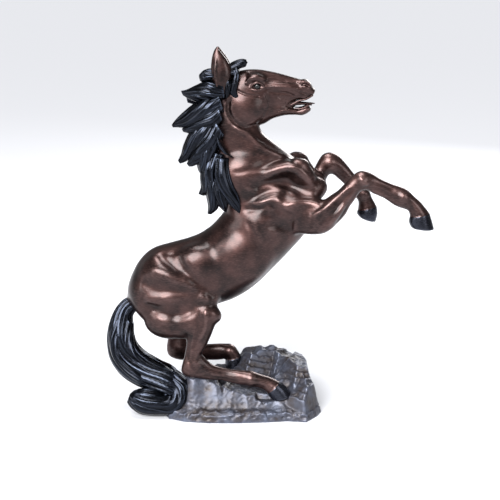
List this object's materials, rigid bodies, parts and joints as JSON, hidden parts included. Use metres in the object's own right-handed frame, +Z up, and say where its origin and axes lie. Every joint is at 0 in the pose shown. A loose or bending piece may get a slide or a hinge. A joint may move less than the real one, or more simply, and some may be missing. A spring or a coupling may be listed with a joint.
{
  "type": "rearing horse statue",
  "caption": "Tabletop bronze statue of a rearing horse with flowing black mane and tail, standing on a hollow cast rock base.",
  "frame": {"origin": "on the table, under the middle of the statue's outline in plan", "axes": "+Z up, +X the way the horse faces, -Y the horse's right side"},
  "size_m": [0.526, 0.176, 0.59],
  "materials": {
    "brown_bronze": "reddish brown patina with brushed darker streaks, waxed to a soft gloss",
    "black_bronze": "glossy black patina",
    "hoof_bronze": "black patina, slightly worn",
    "rock_bronze": "grey-blue metallic patina over brown, rough chiselled rock",
    "eye_enamel": "glossy black enamel",
    "bare_bronze": "machined bare bronze",
    "fixing_steel": "zinc-plated steel"
  },
  "bodies": {
    "root": {"torso": "brown_bronze", "neck": "brown_bronze", "head": "brown_bronze", "tongue": "brown_bronze", "ear_right": "brown_bronze", "ear_left": "brown_bronze", "eye_right": "eye_enamel", "eye_left": "eye_enamel", "forelock": "black_bronze", "mane_upper": "black_bronze", "mane_middle": "black_bronze", "mane_lower": "black_bronze", "foreleg_right": "brown_bronze", "foreleg_left": "brown_bronze", "hind_leg_right": "brown_bronze", "hind_leg_left": "brown_bronze", "hoof_fore_right": "hoof_bronze", "hoof_fore_left": "hoof_bronze", "hoof_hind_right": "hoof_bronze", "hoof_hind_left": "hoof_bronze", "tail": "black_bronze", "rock_base": "rock_bronze", "mounting_studs": "fixing_steel", "mounting_washers": "fixing_steel", "mounting_nuts": "fixing_steel", "seam_sleeves": "bare_bronze", "seam_dowels": "bare_bronze", "hoof_dowels": "bare_bronze", "core_plugs": "brown_bronze"}
  },
  "joints": []
}
